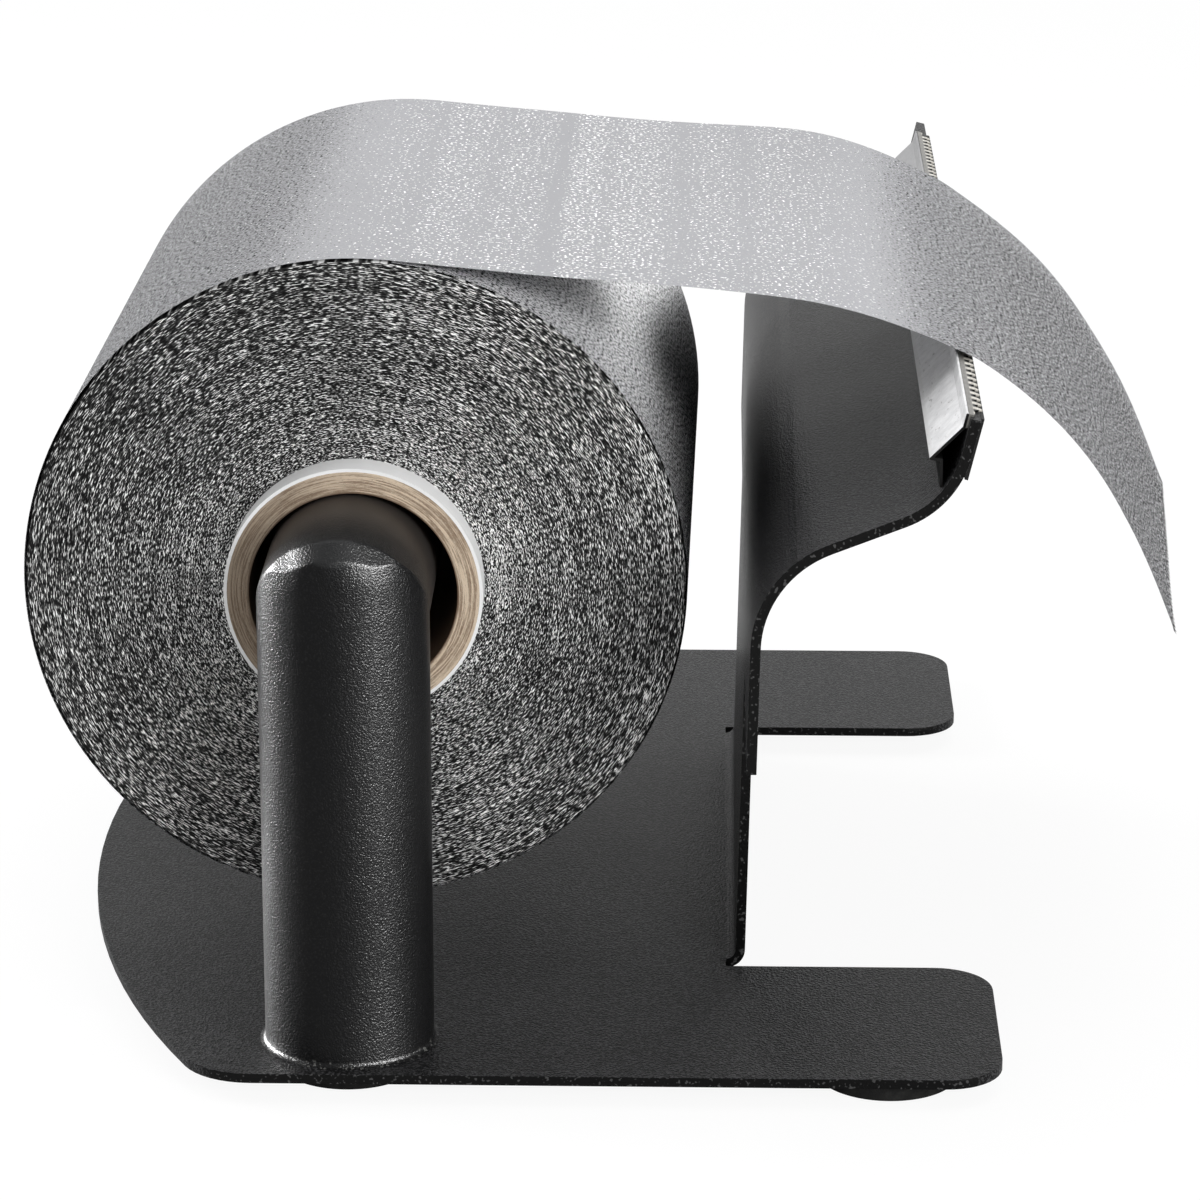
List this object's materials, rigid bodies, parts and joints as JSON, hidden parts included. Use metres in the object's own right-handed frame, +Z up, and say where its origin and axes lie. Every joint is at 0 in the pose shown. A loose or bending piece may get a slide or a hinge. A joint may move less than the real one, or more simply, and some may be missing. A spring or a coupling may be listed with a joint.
{
  "type": "hair foil dispenser",
  "caption": "Counter-top hair foil dispenser: folded sheet-steel stand with a tube arm carrying a foil roll, and a toothed cutter along its raised lip.",
  "frame": {"origin": "centre of the front-left foot's underside, where the post's axis meets the surface that the dispenser stands on", "axes": "+X from the roll towards the cutter, +Y along the arm from the post to its free end, +Z up"},
  "size_m": [0.1769, 0.2046, 0.12],
  "materials": {
    "stand_coat": "fine textured matte powder coat",
    "tube_coat": "fine textured matte powder coat",
    "plug_plastic": "satin black",
    "foot_rubber": "matte black",
    "rail_metal": "brushed and handled",
    "blade_steel": "bright cut edge",
    "strip_plastic": "matte black",
    "core_board": "laminated brown board, cut end",
    "core_paper": "smooth white",
    "foil_wound": "wound embossed foil, streaked end face",
    "foil_sheet": "embossed sparkling foil"
  },
  "bodies": {
    "stand": {"stand_plate": "stand_coat", "post_tube": "tube_coat", "arm_tube": "tube_coat", "arm_end_plug": "plug_plastic", "foot_front_left": "foot_rubber", "foot_front_right": "foot_rubber", "foot_back_left": "foot_rubber", "foot_back_right": "foot_rubber", "cutter_rail": "rail_metal", "toothed_blade": "blade_steel", "lip_strip": "strip_plastic"},
    "web": {"foil_web": "foil_sheet"},
    "roll": {"cardboard_core": "core_board", "core_wrap": "core_paper", "foil_winding": "foil_wound"}
  },
  "joints": [
    {"name": "roll_slide", "type": "slide", "parent": "stand", "child": "web", "axis": [0, 1, 0], "range_m": [0, 0.15]},
    {"name": "roll_spin", "type": "hinge", "parent": "web", "child": "roll", "pos_m": [0.0005, 0.0786, 0.07005], "axis": [0, 1, 0], "continuous": true}
  ]
}
